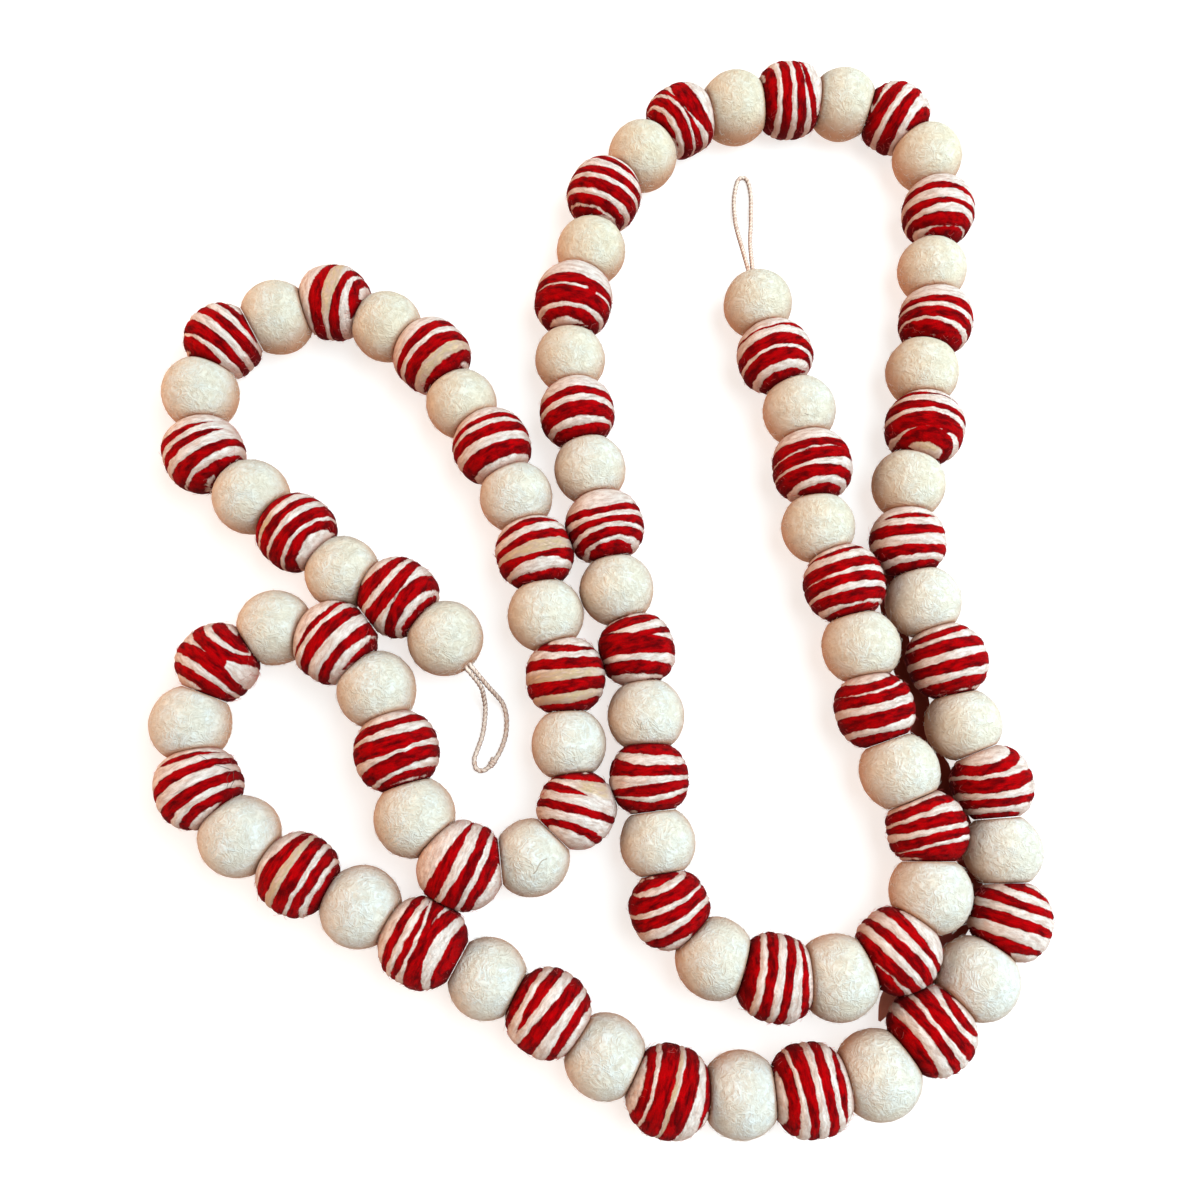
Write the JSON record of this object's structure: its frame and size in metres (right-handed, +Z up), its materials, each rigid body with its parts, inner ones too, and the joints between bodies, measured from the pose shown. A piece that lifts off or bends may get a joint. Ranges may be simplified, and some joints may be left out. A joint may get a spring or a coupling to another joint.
{
  "type": "felt ball garland",
  "caption": "Garland of felted wool balls, plain white and red-striped ones in turn on a cotton string, lying in loose bends with a hanging loop at each end.",
  "frame": {"origin": "centre of the box round the balls, on the surface they lie on; the hanging loops lie inside that box", "axes": "+Z up; +X to the right and +Y away from somebody who looks at it from the pictured side"},
  "size_m": [0.3035, 0.3801, 0.0268],
  "materials": {
    "wool_felt": "matt felted wool: one plain off-white ball and one with wound crimson and cream bands",
    "white_felt": "matt felted wool, off-white",
    "cotton_string": "twisted undyed cotton string"
  },
  "bodies": {
    "root": {"ball_pair_01": "wool_felt", "ball_pair_02": "wool_felt", "ball_pair_03": "wool_felt", "ball_pair_04": "wool_felt", "ball_pair_05": "wool_felt", "ball_pair_06": "wool_felt", "ball_pair_07": "wool_felt", "ball_pair_08": "wool_felt", "ball_pair_09": "wool_felt", "ball_pair_10": "wool_felt", "ball_pair_11": "wool_felt", "ball_pair_12": "wool_felt", "ball_pair_13": "wool_felt", "ball_pair_14": "wool_felt", "ball_pair_15": "wool_felt", "ball_pair_16": "wool_felt", "ball_pair_17": "wool_felt", "ball_pair_18": "wool_felt", "ball_pair_19": "wool_felt", "ball_pair_20": "wool_felt", "ball_pair_21": "wool_felt", "ball_pair_22": "wool_felt", "ball_pair_23": "wool_felt", "ball_pair_24": "wool_felt", "ball_pair_25": "wool_felt", "ball_pair_26": "wool_felt", "ball_pair_27": "wool_felt", "ball_pair_28": "wool_felt", "ball_pair_29": "wool_felt", "ball_pair_30": "wool_felt", "ball_pair_31": "wool_felt", "ball_pair_32": "wool_felt", "ball_pair_33": "wool_felt", "ball_pair_34": "wool_felt", "ball_pair_35": "wool_felt", "ball_pair_36": "wool_felt", "ball_pair_37": "wool_felt", "ball_pair_38": "wool_felt", "ball_pair_39": "wool_felt", "ball_pair_40": "wool_felt", "ball_pair_41": "wool_felt", "ball_pair_42": "wool_felt", "ball_pair_43": "wool_felt", "ball_pair_44": "wool_felt", "ball_pair_45": "wool_felt", "end_ball": "white_felt", "start_loop": "cotton_string", "end_loop": "cotton_string"}
  },
  "joints": []
}
